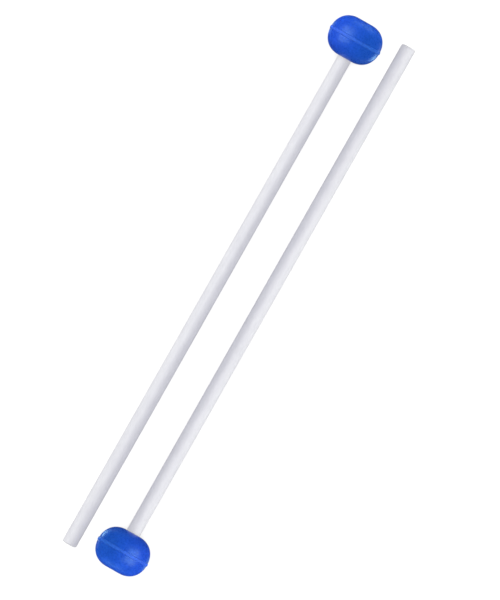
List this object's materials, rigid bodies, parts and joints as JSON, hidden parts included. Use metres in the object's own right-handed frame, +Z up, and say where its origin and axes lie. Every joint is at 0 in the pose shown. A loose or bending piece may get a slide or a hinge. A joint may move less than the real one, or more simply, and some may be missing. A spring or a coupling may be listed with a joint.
{
  "type": "glockenspiel mallets",
  "caption": "Pair of glockenspiel mallets: slim round plastic sticks, each with a barrel-shaped moulded head glued on one end, lying side by side head to tail.",
  "frame": {"origin": "on the table under the middle of the pair, halfway between the two sticks and halfway along them", "axes": "+Z up from the table, +Y along the sticks towards the first mallet's head, +X from the first mallet to the second"},
  "size_m": [0.0384, 0.215, 0.0204],
  "materials": {
    "stick_plastic": "cool white moulded plastic, fine matte surface",
    "head_rubber": "cobalt blue hard moulded rubber, satin, with a soft sheen"
  },
  "bodies": {
    "mallet_1": {"mallet_1_stick": "stick_plastic", "mallet_1_head": "head_rubber"},
    "mallet_2": {"mallet_2_stick": "stick_plastic", "mallet_2_head": "head_rubber"}
  },
  "joints": [
    {"name": "mallet_2_lift", "type": "slide", "parent": "mallet_1", "child": "mallet_2", "axis": [0, 0, 1], "range_m": [0, 0.1]}
  ]
}
